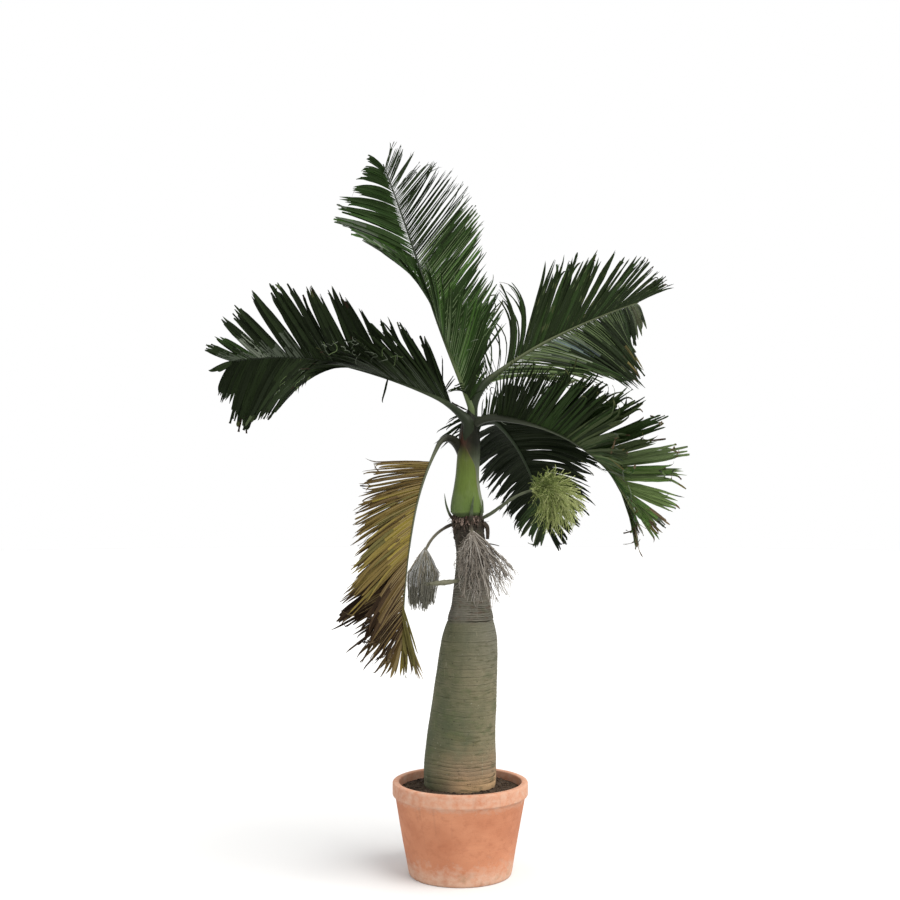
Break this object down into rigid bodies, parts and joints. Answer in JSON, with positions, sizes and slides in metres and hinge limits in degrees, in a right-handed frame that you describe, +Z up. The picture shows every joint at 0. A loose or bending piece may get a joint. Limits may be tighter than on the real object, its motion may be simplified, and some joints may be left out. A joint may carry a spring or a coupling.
{
  "type": "potted bottle palm",
  "caption": "Bottle palm in a plain clay pot, with a swollen ringed trunk, a green crownshaft, arching feathered fronds, and fresh and dried flower sprays under the crown.",
  "frame": {"origin": "centre of the pot's flat underside, where it stands", "axes": "+Z up along the plant, -Y towards the side that the picture shows, +X to the right in the picture"},
  "size_m": [2.7336, 1.9685, 4.0798],
  "materials": {
    "terracotta": "unglazed fired clay, dry and slightly rough",
    "soil": "loose dark potting earth",
    "bark": "grey-green ringed palm bark, matt",
    "sheath_green": "smooth waxy leaf sheath",
    "stalk_green": "smooth fresh stalk, satin",
    "stalk_dry": "weathered dry stalk, matt",
    "strand_green": "fresh flower strands, matt",
    "strand_grey": "dried flower strands, matt",
    "leaf_bright": "young frond, satin",
    "leaf_green": "mature frond, satin",
    "leaf_dark": "old dark frond, satin",
    "leaf_yellowed": "dying frond, dry and matt"
  },
  "bodies": {
    "root": {"pot": "terracotta", "soil": "soil", "trunk": "bark", "crownshaft": "sheath_green", "spathe_left": "stalk_green", "spathe_front": "stalk_green", "spathe_right": "stalk_green", "old_stalk": "stalk_dry", "spray_green_stalk": "stalk_green", "spray_green": "strand_green", "spray_grey_left_stalk": "stalk_dry", "spray_grey_left": "strand_grey", "spray_grey_front_stalk": "stalk_dry", "spray_grey_front": "strand_grey", "frond_top": "leaf_bright", "frond_upright_inner": "leaf_green", "frond_upright_outer": "leaf_green", "frond_left_inner": "leaf_dark", "frond_left_outer": "leaf_dark", "frond_right_inner": "leaf_green", "frond_right_outer": "leaf_green", "frond_back_inner": "leaf_dark", "frond_back_outer": "leaf_dark", "frond_old_inner": "leaf_yellowed", "frond_old_outer": "leaf_yellowed"}
  },
  "joints": []
}
